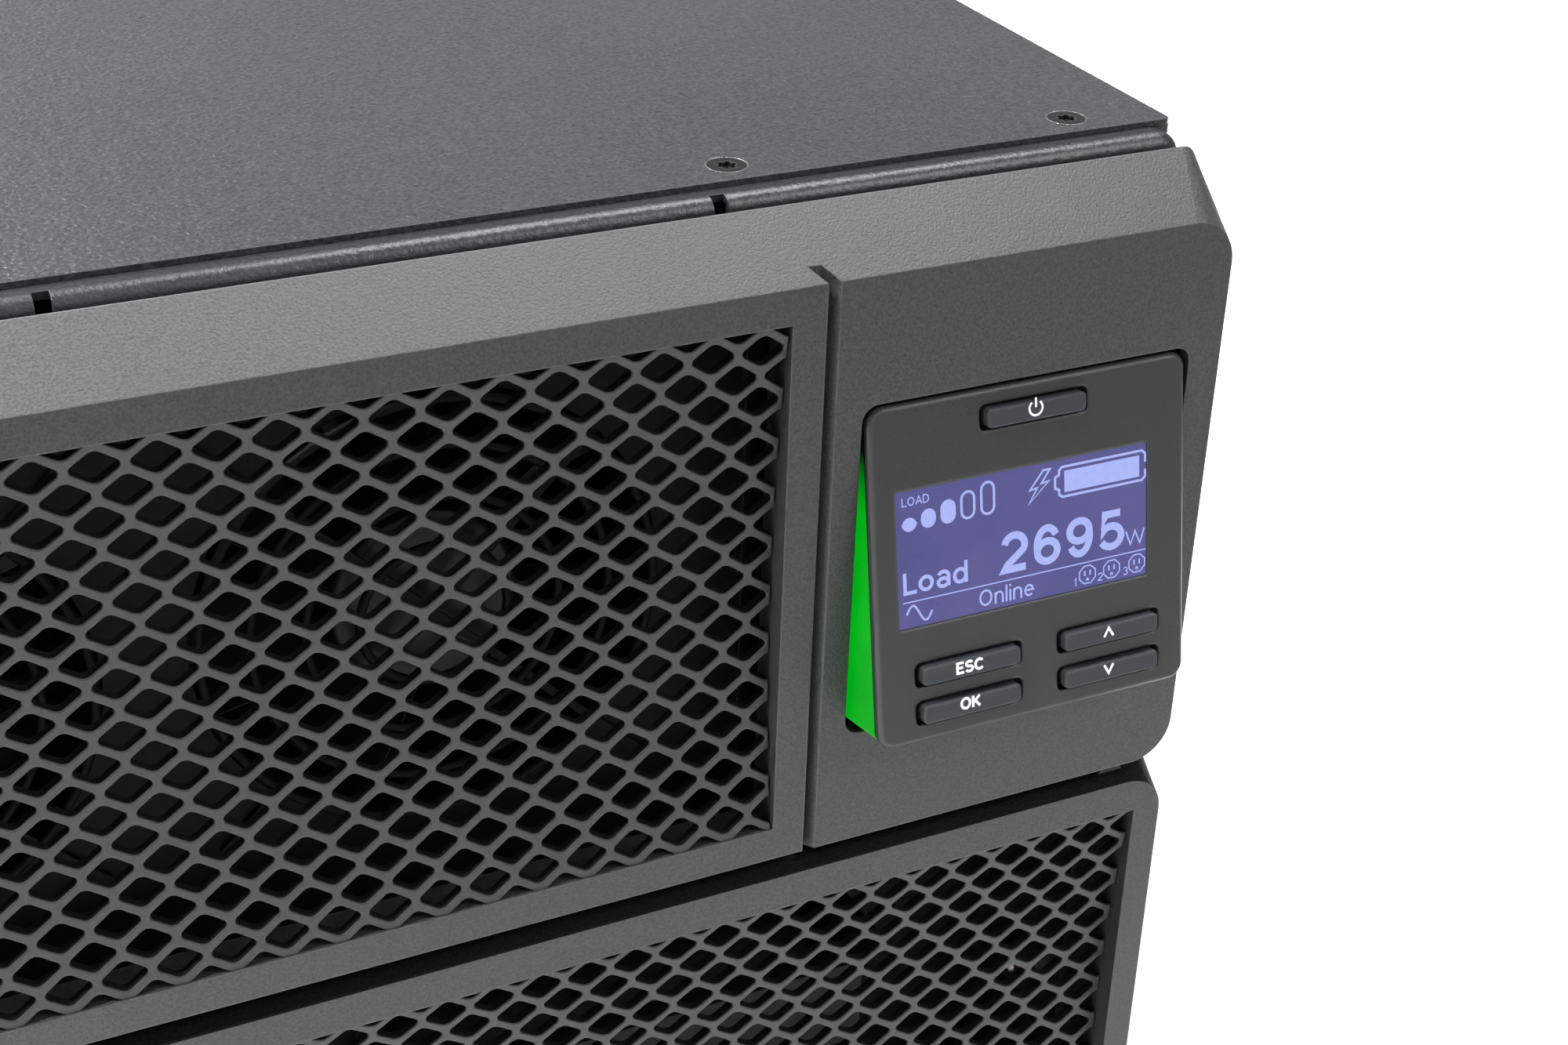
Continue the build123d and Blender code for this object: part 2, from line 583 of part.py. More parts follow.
for side, (a, b) in MODULES.items():
    with BuildPart() as tray:
        block(a, b, MY0, MY1, MZ0, MZ0 + 1.2)
        block(a, a + 1.2, MY0, MY1, MZ0, MZ0 + 70)
        block(b - 1.2, b, MY0, MY1, MZ0, MZ0 + 70)
        yrect(a, b, MZ0, MZ1, MY0, MY0 + 1.2)
        yrect(a, b, MZ0, MZ0 + 100, MY1 - 1.2, MY1)
        # blind-mate plug on the back wall
        cx = (a + b) / 2
        block(cx - 30, cx + 30, MY1, MY1 + 14, 50, 78)
        for dx in (-16, 16):
            ycyl(cx + dx, 64, 5.0, MY1 + 14, MY1 + 20)
    save(tray, "battery_tray_" + side)

    with BuildPart() as cells:
        w = (b - a - 2.4 - 1.6) / 3
        for i in range(3):
            for j in range(3):
                if i == 1 and j == 2:
                    continue
                x0 = a + 1.6 + i * (w + 0.4)
                y0 = MY0 + 1.8 + j * 152.0
                block(x0, x0 + w - 0.4, y0, y0 + 151.0, MZ0 + 1.2, MZ0 + 1.2 + 94.0)
                for dx in (8.0, w - 14.0):
                    block(x0 + dx, x0 + dx + 5.0, y0 + 6.0, y0 + 12.0, MZ0 + 95.2, MZ0 + 100.5)
    save(cells, "battery_blocks_" + side)

    with BuildPart() as handle:
        cx = (a + b) / 2
        zc = (MZ0 + MZ1) / 2
        with BuildSketch(Plane.XY.offset(zc - 11)) as s:
            with BuildLine():
                Polyline((cx - 58, MY0), (cx - 58, MY0 - 20), (cx - 50, MY0 - 27), (cx + 50, MY0 - 27),
                         (cx + 58, MY0 - 20), (cx + 58, MY0), (cx + 51, MY0), (cx + 51, MY0 - 18),
                         (cx + 47, MY0 - 21), (cx - 47, MY0 - 21), (cx - 51, MY0 - 18), (cx - 51, MY0),
                         close=True)
            make_face()
        extrude(s.sketch, amount=22)
    save(handle, "pull_handle_" + side)

with BuildPart() as battery_sockets:
    for a, b in MODULES.values():
        cx = (a + b) / 2
        block(cx - 32, cx + 32, MY1 + 14.4, 172, 48, 80)
        for dx in (-16, 16):
            ycyl(cx + dx, 64, 5.4, MY1 + 14, MY1 + 21, mode=Mode.SUBTRACT)
save(battery_sockets, "battery_sockets")

with BuildPart() as charger_module:
    block(-60, 190, 182, 300, T, T + 22)
    fins(-60, 30, 190, 292, T + 22, T + 84, 9)
    block(50, 180, 196, 288, T + 22, T + 70)
save(charger_module, "charger_module")

# ---------------------------------------------------------------- rear fittings
# Network management card, slides out to the rear.
with BuildPart() as network_card:
    yrect(CARD[0], CARD[1], CARD[2], CARD[3], YR, YR + 1.2, 1.0)
    block(CARD[0] + 6, CARD[1] - 6, YR - 150, YR, CARD[2] + 5, CARD[2] + 6.6)
    # jacks on the card
    block(-172, -156, YR - 20, YR + 1.4, CARD[2] + 6.6, CARD[2] + 19.6)
    block(-169.5, -158.5, YR - 8, YR + 2, CARD[2] + 8.2, CARD[2] + 17.0, mode=Mode.SUBTRACT)
    block(-142, -128, YR - 18, YR + 1.4, CARD[2] + 6.6, CARD[2] + 13.6)
    block(-139.5, -130.5, YR - 6, YR + 2, CARD[2] + 8.0, CARD[2] + 12.2, mode=Mode.SUBTRACT)
    for x in (CARD[0] + 3.6, CARD[1] - 3.6):
        ycyl(x, (CARD[2] + CARD[3]) / 2, 3.0, YR + 1.2, YR + 1.9)
save(network_card, "network_card")

with BuildPart() as card_guides:
    for a, b in ((CARD[0] + 2.6, CARD[0] + 5.7), (CARD[1] - 5.7, CARD[1] - 2.6)):
        block(a, b, YR - 140, YR - TR, CARD[2] + 2.2, CARD[2] + 9.8)
    block(CARD[0] + 2.6, CARD[1] - 2.6, YR - 156, YR - 152, CARD[2] + 2.2, CARD[2] + 9.8)
    block(CARD[0] + 2.6, CARD[0] + 5.7, YR - 156, YR - 139, CARD[2] + 2.2, CARD[2] + 9.8)
    block(CARD[1] - 5.7, CARD[1] - 2.6, YR - 156, YR - 139, CARD[2] + 2.2, CARD[2] + 9.8)
save(card_guides, "card_guides")

with BuildPart() as signal_ports:
    yrect(-59.7, 21.7, 229.3, 246.7, YR - 14, YR + 0.8, 1.0)
    yrect(-56, -42, 232.5, 243.5, YR - 8, YR + 2, 0.6, mode=Mode.SUBTRACT)
    yrect(-36, -24, 232.5, 243.5, YR - 8, YR + 2, 0.6, mode=Mode.SUBTRACT)
    yrect(-18, 16, 233.0, 243.0, YR - 8, YR + 2, 0.6, mode=Mode.SUBTRACT)
    yrect(-17, 15, 234.5, 241.5, YR - 8, YR - 1, 0.4)
save(signal_ports, "signal_ports")

with BuildPart() as battery_expansion_connector:
    yrect(92.3, 149.7, 140.3, 167.7, YR - 30, YR + 2.0, 1.0)
    for x in (103, 121, 139):
        yrect(x - 6.5, x + 6.5, 144, 164, YR - 20, YR + 3, 1.0, mode=Mode.SUBTRACT)
        yrect(x - 1.5, x + 1.5, 148, 160, YR - 20, YR - 4)
save(battery_expansion_connector, "battery_expansion_connector")

with BuildPart() as outlet_blocks:
    for x, z in OUT13:
        yrect(x - 14.0, x + 14.0, z - 10.2, z + 10.2, YR - 30, YR, 2.8)
        yrect(x - 16.4, x + 16.4, z - 12.6, z + 12.6, YR, YR + 1.2, 3.0)
        yrect(x - 12.0, x + 12.0, z - 8.2, z + 8.2, YR - 16, YR + 2, 2.0, mode=Mode.SUBTRACT)
        yrect(x - 10.4, x + 10.4, z - 6.6, z + 6.6, YR - 16, YR - 1.0, 1.2)
        for dx, dz in ((-7, 1.4), (7, 1.4), (0, -2.6)):
            yrect(x + dx - 1.1, x + dx + 1.1, z + dz - 2.4, z + dz + 2.4, YR - 14, YR, mode=Mode.SUBTRACT)
save(outlet_blocks, "outlet_blocks")

with BuildPart() as breaker_bodies:
    for x in (-38, -8):
        yrect(x - 10, x + 10, 50.2, 89.8, YR - 40, YR, 0.8)
        yrect(x - 11.6, x + 11.6, 47.5, 92.5, YR, YR + 1.4, 1.0)
        yrect(x - 7.4, x + 7.4, 55.6, 84.4, YR - 12, YR + 2, 0.6, mode=Mode.SUBTRACT)
        xcyl(YR - 3.6, 70, 1.4, x - 8.2, x + 8.2)
save(breaker_bodies, "breaker_bodies")

for name, x in (("breaker_rocker_left", -38), ("breaker_rocker_right", -8)):
    with BuildPart() as rocker:
        with BuildSketch(PX_(x - 7.0)) as s:
            with BuildLine():
                Polyline((YR - 6.0, 58.6), (YR + 0.2, 58.0), (YR + 0.4, 70.0), (YR + 4.6, 81.2),
                         (YR - 3.0, 81.8), (YR - 7.2, 72.0), (YR - 7.2, 68.0), close=True)
            make_face()
        extrude(s.sketch, amount=14.0)
        xcyl(YR - 3.6, 70, 1.47, x - 8, x + 8, mode=Mode.SUBTRACT)
    save(rocker, name)

with BuildPart() as terminal_block:
    block(-190, -82, YR - 46, YR - 8, 30, 60)
    for i in range(5):
        x = -179.6 + i * 21.8
        yrect(x - 8, x + 8, 36, 54, YR - 20, YR - 7, mode=Mode.SUBTRACT)
        ycyl(x, 45, 4.4, YR - 20, YR - 12)
save(terminal_block, "terminal_block")

with BuildPart() as terminal_cover:
    yrect(-201, -71, 17, 113, YR, YR + 12, 3.0)
    yrect(-199.5, -72.5, 18.5, 111.5, YR - 1, YR + 10.5, 2.0, mode=Mode.SUBTRACT)
    for x in (-168, -136, -104):
        ycyl(x, 92, 11.2, YR + 9, YR + 13, mode=Mode.SUBTRACT)
    for x in (-194, -78):
        ycyl(x, 65, 4.0, YR, YR + 11)
        ycyl(x, 65, 1.7, YR - 1, YR + 13, mode=Mode.SUBTRACT)
    # knockout discs left in the three conduit holes
    for x in (-168, -136, -104):
        ycyl(x, 92, 11.0, YR + 10.6, YR + 11.8)
        yrect(x - 12, x + 12, 91, 93, YR + 10.6, YR + 11.6)
save(terminal_cover, "terminal_cover")

with BuildPart() as ground_stud:
    ycyl(26, 22, 2.5, YR - 8, YR + 12)
    with BuildSketch(PY(YR - TR)) as s:
        with Locations((26, 22)):
            RegularPolygon(4.6, 6)
    extrude(s.sketch, amount=4.0)
    with BuildSketch(PY(YR + 4.0)) as s2:
        with Locations((26, 22)):
            RegularPolygon(4.6, 6)
    extrude(s2.sketch, amount=4.0)
save(ground_stud, "ground_stud")

with BuildPart() as rear_screws:
    for x in (-180, -60, 60, 180):
        ycyl(x, 134.5, 1.6, YR - 8, YR)
        ycyl(x, 134.5, 3.4, YR, YR + 2.2)
        yrect(x - 2.2, x + 2.2, 134.1, 134.9, YR + 1.2, YR + 3, mode=Mode.SUBTRACT)
    for x in (-194, -78):
        ycyl(x, 65, 1.6, YR - 6, YR + 12)
        ycyl(x, 65, 3.2, YR + 12, YR + 13.6)
save(rear_screws, "rear_screws")
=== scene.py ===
import json
import math
import bpy
import bmesh
from mathutils import Vector, Matrix


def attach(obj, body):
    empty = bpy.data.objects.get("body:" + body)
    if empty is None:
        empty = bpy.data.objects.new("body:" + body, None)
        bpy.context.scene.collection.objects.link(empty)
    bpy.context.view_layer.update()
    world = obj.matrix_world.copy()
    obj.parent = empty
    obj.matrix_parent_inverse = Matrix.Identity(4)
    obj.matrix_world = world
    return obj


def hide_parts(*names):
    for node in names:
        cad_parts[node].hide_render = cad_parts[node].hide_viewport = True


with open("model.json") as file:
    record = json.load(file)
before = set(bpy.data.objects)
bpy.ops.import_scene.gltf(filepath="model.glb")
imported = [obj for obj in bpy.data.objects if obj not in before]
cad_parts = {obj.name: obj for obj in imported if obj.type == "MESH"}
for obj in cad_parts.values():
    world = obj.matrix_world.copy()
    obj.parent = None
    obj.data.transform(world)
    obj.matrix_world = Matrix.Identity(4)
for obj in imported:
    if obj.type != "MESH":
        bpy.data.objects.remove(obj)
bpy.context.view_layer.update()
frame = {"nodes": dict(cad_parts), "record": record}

NODES = frame["nodes"]
MM = 0.001
YF, YR, HT = -357.5, 345.0, 263.0

# ------------------------------------------------------------------ camera
yaw, pitch, roll = math.radians(27.39207), math.radians(28.72384), math.radians(-2.28145)
fwd = Vector((math.sin(yaw) * math.cos(pitch), math.cos(yaw) * math.cos(pitch), -math.sin(pitch)))
right = Vector((math.cos(yaw), -math.sin(yaw), 0.0))
down = fwd.cross(right)
r2 = right * math.cos(roll) + down * math.sin(roll)
d2 = -right * math.sin(roll) + down * math.cos(roll)
cam_data = bpy.data.cameras.new("camera")
cam_data.lens = 54.851
cam_data.sensor_width = 36.0
cam_data.clip_start = 0.01
cam_data.clip_end = 60.0
cam = bpy.data.objects.new("camera", cam_data)
bpy.context.scene.collection.objects.link(cam)
cam.matrix_world = Matrix(((r2.x, -d2.x, -fwd.x, -0.0548), (r2.y, -d2.y, -fwd.y, -0.6980),
                           (r2.z, -d2.z, -fwd.z, 0.4149), (0, 0, 0, 1)))
bpy.context.scene.camera = cam


# ------------------------------------------------------------------ materials
class Mat:
    """A node material built step by step; coordinates are the object's own, in metres."""

    def __init__(self, name):
        self.m = bpy.data.materials.new(name)
        self.m.use_nodes = True
        self.t = self.m.node_tree
        self.t.nodes.clear()
        self.out = self.t.nodes.new("ShaderNodeOutputMaterial")
        self.b = self.t.nodes.new("ShaderNodeBsdfPrincipled")
        self.t.links.new(self.b.outputs[0], self.out.inputs[0])
        self.co = self.t.nodes.new("ShaderNodeTexCoord").outputs["Object"]

    def link(self, a, b):
        self.t.links.new(a, b)

    def noise(self, scale, detail=2.0, rough=0.5, stretch=None):
        n = self.t.nodes.new("ShaderNodeTexNoise")
        n.inputs["Scale"].default_value = scale
        n.inputs["Detail"].default_value = detail
        n.inputs["Roughness"].default_value = rough
        co = self.co
        if stretch:
            mp = self.t.nodes.new("ShaderNodeMapping")
            mp.inputs["Scale"].default_value = stretch
            self.link(self.co, mp.inputs["Vector"])
            co = mp.outputs[0]
        self.link(co, n.inputs["Vector"])
        return n.outputs["Fac"]

    def cells(self, scale, smooth=1.0):
        n = self.t.nodes.new("ShaderNodeTexVoronoi")
        n.feature = "SMOOTH_F1"
        n.inputs["Scale"].default_value = scale
        n.inputs["Smoothness"].default_value = smooth
        self.link(self.co, n.inputs["Vector"])
        return n.outputs["Distance"]

    def ramp(self, v, lo, hi, a=0.0, b=1.0):
        n = self.t.nodes.new("ShaderNodeMapRange")
        n.inputs["From Min"].default_value = lo
        n.inputs["From Max"].default_value = hi
        n.inputs["To Min"].default_value = a
        n.inputs["To Max"].default_value = b
        self.link(v, n.inputs["Value"])
        return n.outputs["Result"]

    def math(self, op, a, b):
        n = self.t.nodes.new("ShaderNodeMath")
        n.operation = op
        for i, v in enumerate((a, b)):
            if isinstance(v, (int, float)):
                n.inputs[i].default_value = v
            else:
                self.link(v, n.inputs[i])
        return n.outputs[0]

    def mix(self, f, a, b):
        n = self.t.nodes.new("ShaderNodeMix")
        n.data_type = "RGBA"
        self.link(f, n.inputs[0])
        for i, v in ((6, a), (7, b)):
            if isinstance(v, tuple):
                n.inputs[i].default_value = (*v[:3], 1.0)
            else:
                self.link(v, n.inputs[i])
        return n.outputs[2]

    def edges(self, radius):
        """(rounded normal, mask that is 1 along convex and concave edges)."""
        bv = self.t.nodes.new("ShaderNodeBevel")
        bv.samples = 6
        bv.inputs["Radius"].default_value = radius
        geo = self.t.nodes.new("ShaderNodeNewGeometry")
        dt = self.t.nodes.new("ShaderNodeVectorMath")
        dt.operation = "DOT_PRODUCT"
        self.link(bv.outputs[0], dt.inputs[0])
        self.link(geo.outputs["Normal"], dt.inputs[1])
        return bv.outputs[0], self.ramp(dt.outputs["Value"], 1.0, 0.86)

    def bump(self, height, distance, strength=1.0, normal=None):
        n = self.t.nodes.new("ShaderNodeBump")
        n.inputs["Distance"].default_value = distance
        n.inputs["Strength"].default_value = strength
        self.link(height, n.inputs["Height"])
        if normal is not None:
            self.link(normal, n.inputs["Normal"])
        return n.outputs[0]


def scaled(c, k):
    return tuple(min(1.0, v * k) for v in c)


def grained(name, color, rough, grain=2600.0, depth=0.00004, speck=0.35, mottle=0.12, edge=0.0004, edge_gain=1.7,
            spec=0.5, coat=0.0, cells=0.0, cell_depth=0.0, metal=0.0, dust=0.0):
    """Moulded or powder coated surface: fine grain, speckle, slow mottling, rounded edges lightened partly as rubbed
    wear and partly as painted highlight.
    """
    q = Mat(name)
    fine = q.noise(grain, 2.0, 0.6)
    slow = q.noise(9.0, 4.0, 0.55)
    col = q.mix(q.ramp(fine, 0.30, 0.72), scaled(color, 1 - speck), scaled(color, 1 + speck))
    col = q.mix(q.ramp(slow, 0.35, 0.65, 0.0, mottle), col, scaled(color, 1.6))
    if dust > 0:
        spots = q.noise(5200.0, 1.0, 0.4)
        col = q.mix(q.ramp(spots, 0.68, 0.80, 0.0, dust), col, scaled(color, 5.0))
    normal = None
    if edge > 0:
        normal, mask = q.edges(edge)
        # Edges and creases lighter by edge_gain: partly rubbed wear, partly painted highlight.
        wear_and_highlight = q.math("MULTIPLY", mask, q.ramp(q.noise(160.0, 3.0, 0.6), 0.25, 0.6, 0.45, 1.0))
        col = q.mix(wear_and_highlight, col, scaled(color, edge_gain))
    q.link(col, q.b.inputs["Base Color"])
    q.link(q.math("ADD", q.ramp(fine, 0.3, 0.7, rough - 0.06, rough + 0.06), q.ramp(slow, 0.3, 0.7, -0.04, 0.04)),
           q.b.inputs["Roughness"])
    h = q.bump(fine, depth, 0.9, normal)
    if cells > 0:
        h = q.bump(q.cells(cells), cell_depth, 0.8, h)
    q.link(h, q.b.inputs["Normal"])
    q.b.inputs["Specular IOR Level"].default_value = spec
    q.b.inputs["Metallic"].default_value = metal
    if coat > 0:
        q.b.inputs["Coat Weight"].default_value = coat
        q.b.inputs["Coat Roughness"].default_value = 0.12
    return q.m


def plated(name, color, rough, stretch=(1.0, 60.0, 60.0), depth=0.00001, spangle=0.25):
    """Zinc plated or drawn metal: fine lines along one way and a slow patchy tone."""
    q = Mat(name)
    lines = q.noise(60.0, 3.0, 0.6, stretch)
    patch = q.noise(38.0, 4.0, 0.6)
    col = q.mix(q.ramp(patch, 0.3, 0.7), scaled(color, 1 - spangle), scaled(color, 1 + spangle * 0.6))
    normal, mask = q.edges(0.0003)
    # Edges and creases lighter: painted highlight.
    col = q.mix(q.math("MULTIPLY", mask, q.ramp(patch, 0.2, 0.8, 0.3, 0.9)), col, scaled(color, 1.35))
    q.link(col, q.b.inputs["Base Color"])
    q.link(q.math("ADD", q.ramp(lines, 0.3, 0.7, rough - 0.1, rough + 0.1), q.ramp(patch, 0.3, 0.7, -0.06, 0.06)),
           q.b.inputs["Roughness"])
    q.link(q.bump(lines, depth, 0.6, normal), q.b.inputs["Normal"])
    q.b.inputs["Metallic"].default_value = 1.0
    return q.m


def glowing(name, low, high, scale, strength, rough, base=(0.02, 0.02, 0.03), spec=0.5):
    """Lit plastic or screen: light that varies a little over the surface."""
    q = Mat(name)
    n = q.noise(scale, 3.0, 0.6)
    f = q.ramp(n, 0.3, 0.7)
    q.link(q.mix(f, low, high), q.b.inputs["Emission Color"])
    q.link(q.mix(f, scaled(base, 0.85), scaled(base, 1.15)), q.b.inputs["Base Color"])
    q.link(q.ramp(q.noise(300.0, 2.0), 0.3, 0.7, rough - 0.03, rough + 0.03), q.b.inputs["Roughness"])
    q.link(q.bump(q.noise(1800.0, 2.0), 0.00001, 0.3), q.b.inputs["Normal"])
    q.b.inputs["Emission Strength"].default_value = strength
    q.b.inputs["Specular IOR Level"].default_value = spec
    return q.m


def light_guide(name):
    """Black housing whose two side walls are lit green, brightest low down."""
    q = Mat(name)
    geo = q.t.nodes.new("ShaderNodeNewGeometry")
    sn = q.t.nodes.new("ShaderNodeSeparateXYZ")
    q.link(geo.outputs["True Normal"], sn.inputs[0])
    sp = q.t.nodes.new("ShaderNodeSeparateXYZ")
    q.link(q.co, sp.inputs[0])
    side = q.ramp(q.math("ABSOLUTE", sn.outputs["X"], 0.0), 0.55, 0.75)
    low = q.ramp(sp.outputs["Z"], 0.215, 0.203)
    n = q.noise(70.0, 2.0)
    lit = q.mix(q.ramp(n, 0.3, 0.7), (0.0, 0.45, 0.008), (0.0, 0.57, 0.012))
    glow = q.mix(q.math("MULTIPLY", side, low), (0.0, 0.0, 0.0), lit)
    q.link(glow, q.b.inputs["Emission Color"])
    q.b.inputs["Emission Strength"].default_value = 0.80
    fine = q.noise(2200.0, 2.0)
    body = q.mix(q.ramp(fine, 0.3, 0.7), (0.008, 0.008, 0.009), (0.014, 0.014, 0.015))
    q.link(q.mix(side, body, (0.0, 0.020, 0.001)), q.b.inputs["Base Color"])
    q.link(q.ramp(fine, 0.3, 0.7, 0.34, 0.42), q.b.inputs["Roughness"])
    q.link(q.bump(fine, 0.00002, 0.5), q.b.inputs["Normal"])
    return q.m


def frame_paint_and_shade(name):
    """Formed sheet: grey powder coat on the rolled edge, and near black painted shade behind the bezels, where the
    inside is dark.
    """
    m = grained(name, (0.020, 0.021, 0.023), 0.34, grain=1700.0, depth=0.00008, speck=0.25, mottle=0.10, edge=0.0003,
                edge_gain=1.8, cells=900.0, cell_depth=0.00008)
    t = m.node_tree
    bsdf = next(n for n in t.nodes if n.type == "BSDF_PRINCIPLED")
    src = bsdf.inputs["Base Color"].links[0].from_socket
    tc = next(n for n in t.nodes if n.type == "TEX_COORD")
    # Painted shade: below 250 mm, behind the bezels, the colour turns near black.
    sp = t.nodes.new("ShaderNodeSeparateXYZ")
    t.links.new(tc.outputs["Object"], sp.inputs[0])
    rp = t.nodes.new("ShaderNodeMapRange")
    rp.inputs["From Min"].default_value = 0.2500
    rp.inputs["From Max"].default_value = 0.2515
    t.links.new(sp.outputs["Z"], rp.inputs["Value"])
    mx = t.nodes.new("ShaderNodeMix")
    mx.data_type = "RGBA"
    t.links.new(rp.outputs["Result"], mx.inputs[0])
    mx.inputs[6].default_value = (0.009, 0.009, 0.010, 1)
    t.links.new(src, mx.inputs[7])
    t.links.new(mx.outputs[2], bsdf.inputs["Base Color"])
    return m


def paint_shade_by_facing(m, axis, lo, hi, gain, absolute=False):
    """Painted shade: lowers a material's colour and shine to gain, by which way its surface faces, from lo to hi on
    one axis.
    """
    t = m.node_tree
    bsdf = next(n for n in t.nodes if n.type == "BSDF_PRINCIPLED")
    geo = t.nodes.new("ShaderNodeNewGeometry")
    sp = t.nodes.new("ShaderNodeSeparateXYZ")
    t.links.new(geo.outputs["True Normal"], sp.inputs[0])
    v = sp.outputs[axis]
    if absolute:
        ab = t.nodes.new("ShaderNodeMath")
        ab.operation = "ABSOLUTE"
        t.links.new(v, ab.inputs[0])
        v = ab.outputs[0]
    rp = t.nodes.new("ShaderNodeMapRange")
    rp.inputs["From Min"].default_value = lo
    rp.inputs["From Max"].default_value = hi
    rp.inputs["To Min"].default_value = 1.0
    rp.inputs["To Max"].default_value = gain
    t.links.new(v, rp.inputs["Value"])
    mx = t.nodes.new("ShaderNodeVectorMath")
    mx.operation = "SCALE"
    t.links.new(bsdf.inputs["Base Color"].links[0].from_socket, mx.inputs[0])
    t.links.new(rp.outputs["Result"], mx.inputs["Scale"])
    t.links.new(mx.outputs[0], bsdf.inputs["Base Color"])
    sh = t.nodes.new("ShaderNodeMath")
    sh.operation = "MULTIPLY"
    sh.inputs[0].default_value = bsdf.inputs["Specular IOR Level"].default_value
    t.links.new(rp.outputs["Result"], sh.inputs[1])
    t.links.new(sh.outputs[0], bsdf.inputs["Specular IOR Level"])
    return m


BEZEL = (0.036, 0.039, 0.0385)
M = {
    "cover": grained("cover_powder_coat", (0.024, 0.026, 0.027), 0.38, grain=1250.0, depth=0.00022, speck=0.50,
                     mottle=0.12, edge=0.0003, edge_gain=2.6, cells=900.0, cell_depth=0.00022),
    "chassis": grained("chassis_powder_coat", (0.036, 0.038, 0.041), 0.50, grain=1500.0, depth=0.00009, speck=0.28,
                       mottle=0.10, edge=0.0003, edge_gain=2.0, cells=820.0, cell_depth=0.00012),
    "frame": frame_paint_and_shade("frame_powder_coat_and_painted_shade"),
    # Painted shade: faces turned down, such as the underside of the upper bezel, are darker and less shiny.
    "bezel": paint_shade_by_facing(grained("bezel_plastic", BEZEL, 0.46, grain=1900.0, depth=0.00012, speck=0.50, mottle=0.10,
                            edge=0.00045, edge_gain=2.8, dust=0.26), "Z", -0.3, -0.7, 0.12),
    # Painted shadow: faces turned up, the lower bezel's top slope under the upper bezel, are darker and less shiny.
    "bezel_low": paint_shade_by_facing(grained("lower_bezel_plastic", BEZEL, 0.46, grain=1900.0, depth=0.00012, speck=0.50,
                                mottle=0.10, edge=0.00045, edge_gain=2.8, dust=0.26), "Z", 0.2, 0.5, 0.14),
    # Painted shade: the sideways facing walls inside the grille holes are darker and less shiny.
    "grille": paint_shade_by_facing(grained("grille_plastic", (0.040, 0.043, 0.043), 0.50, grain=2300.0, depth=0.00005, speck=0.25,
                             mottle=0.10, edge=0.00022, edge_gain=1.9), "Y", 0.75, 0.35, 0.22, True),
    "fascia": grained("fascia_plastic", (0.036, 0.038, 0.037), 0.36, grain=3600.0, depth=0.00002, speck=0.18,
                      mottle=0.05, edge=0.0009, edge_gain=1.6),
    "key": grained("key_rubber", (0.029, 0.033, 0.037), 0.55, grain=3000.0, depth=0.00002, speck=0.2, mottle=0.1,
                   edge=0.0004, edge_gain=2.0),
    "black": grained("black_plastic", (0.014, 0.014, 0.015), 0.48, grain=1800.0, depth=0.00003, speck=0.25,
                     mottle=0.15, edge=0.0003, edge_gain=2.4),
    "fan": grained("fan_plastic", (0.005, 0.005, 0.0055), 0.38, grain=1400.0, depth=0.00002, speck=0.2, mottle=0.2,
                   edge=0.0002, edge_gain=2.6),
    # Painted glint: edge_gain 30 makes the rims of the head and its recess bright.
    "screw": grained("black_oxide", (0.006, 0.006, 0.0065), 0.42, grain=2400.0, depth=0.00002, speck=0.3, mottle=0.2,
                     edge=0.00016, edge_gain=30.0, spec=0.25),
    "board": grained("solder_mask", (0.012, 0.085, 0.035), 0.32, grain=700.0, depth=0.00003, speck=0.35, mottle=0.2,
                     edge=0.0002, edge_gain=1.6, coat=0.4),
    "sleeve": grained("capacitor_sleeve", (0.012, 0.018, 0.05), 0.26, grain=500.0, depth=0.00003, speck=0.2,
                      mottle=0.25, edge=0.0008, edge_gain=2.0, coat=0.5),
    "battery": grained("battery_case", (0.040, 0.041, 0.044), 0.50, grain=1100.0, depth=0.00006, speck=0.3,
                       mottle=0.18, edge=0.0006, edge_gain=1.7),
    "core": grained("core_laminations", (0.060, 0.060, 0.065), 0.42, grain=900.0, depth=0.00008, speck=0.3,
                    mottle=0.3, edge=0.0005, edge_gain=1.8, metal=0.5),
    "zinc": plated("zinc_plate", (0.46, 0.47, 0.48), 0.38),
    "bright": plated("nickel_plate", (0.62, 0.61, 0.59), 0.24, (40.0, 40.0, 40.0), 0.000008, 0.15),
    "alu": plated("extruded_aluminium", (0.66, 0.67, 0.68), 0.34, (60.0, 1.0, 60.0), 0.00001, 0.12),
    "copper": plated("enamelled_copper", (0.62, 0.27, 0.12), 0.30, (90.0, 6.0, 6.0), 0.0001, 0.25),
    "brass": plated("turned_brass", (0.68, 0.48, 0.20), 0.28, (6.0, 200.0, 6.0), 0.00004, 0.2),
    "green": light_guide("green_light_guide"),
    "lcd": glowing("lcd_backlight", (0.090, 0.088, 0.275), (0.112, 0.104, 0.305), 45.0, 0.94, 0.30,
                   (0.01, 0.01, 0.012), 0.2),
    "ink": glowing("lcd_graphics", (0.38, 0.44, 0.90), (0.42, 0.49, 0.94), 900.0, 1.0, 0.40, (0.01, 0.01, 0.012), 0.2),
    # Painted glow: the printed white legends give off light of their own.
    "legend": glowing("printed_white_painted_glow", (0.30, 0.30, 0.30), (0.34, 0.34, 0.34), 1500.0, 1.0, 0.55, (0.75, 0.75, 0.75)),
    # Painted shade: near black standing for the dark inside of the case.
    "dark": grained("interior_painted_shade", (0.004, 0.004, 0.0045), 0.55, grain=1500.0, depth=0.00006, speck=0.3, mottle=0.2,
                    edge=0.0003, edge_gain=2.2, spec=0.25),
    "rim": plated("bare_rim", (0.42, 0.42, 0.42), 0.34, (30.0, 30.0, 30.0), 0.00001, 0.15),
}

